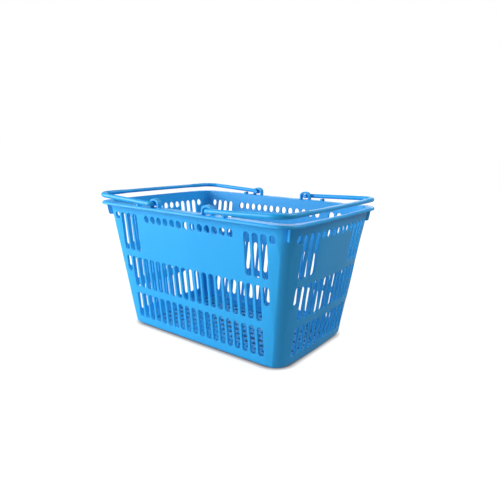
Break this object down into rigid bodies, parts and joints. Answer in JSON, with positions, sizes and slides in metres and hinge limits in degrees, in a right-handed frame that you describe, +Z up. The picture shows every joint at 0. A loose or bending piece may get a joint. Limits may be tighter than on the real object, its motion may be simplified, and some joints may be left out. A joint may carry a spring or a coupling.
{
  "type": "shopping basket",
  "caption": "Tapered plastic hand basket with slotted walls and floor, a flanged rim and folding handles that hinge in lugs on the rim.",
  "frame": {"origin": "centre of the underside of the floor, on the ground plane", "axes": "+X along the long side, +Y along the short side, +Z up"},
  "size_m": [0.44, 0.327, 0.263],
  "materials": {
    "basket_plastic": "satin injection-moulded polypropylene, blue",
    "handle_plastic": "semi-gloss injection-moulded polypropylene, blue"
  },
  "bodies": {
    "basket": {"basket_body": "basket_plastic"},
    "left_handle": {"handle_left": "handle_plastic"},
    "right_handle": {"handle_right": "handle_plastic"}
  },
  "joints": [
    {"name": "left_handle_hinge", "type": "hinge", "parent": "basket", "child": "left_handle", "pos_m": [-0.062, 0, 0.253], "axis": [0, 1, 0], "range_deg": [0, 110]},
    {"name": "right_handle_hinge", "type": "hinge", "parent": "basket", "child": "right_handle", "pos_m": [0.062, 0, 0.253], "axis": [0, -1, 0], "range_deg": [0, 110]}
  ]
}
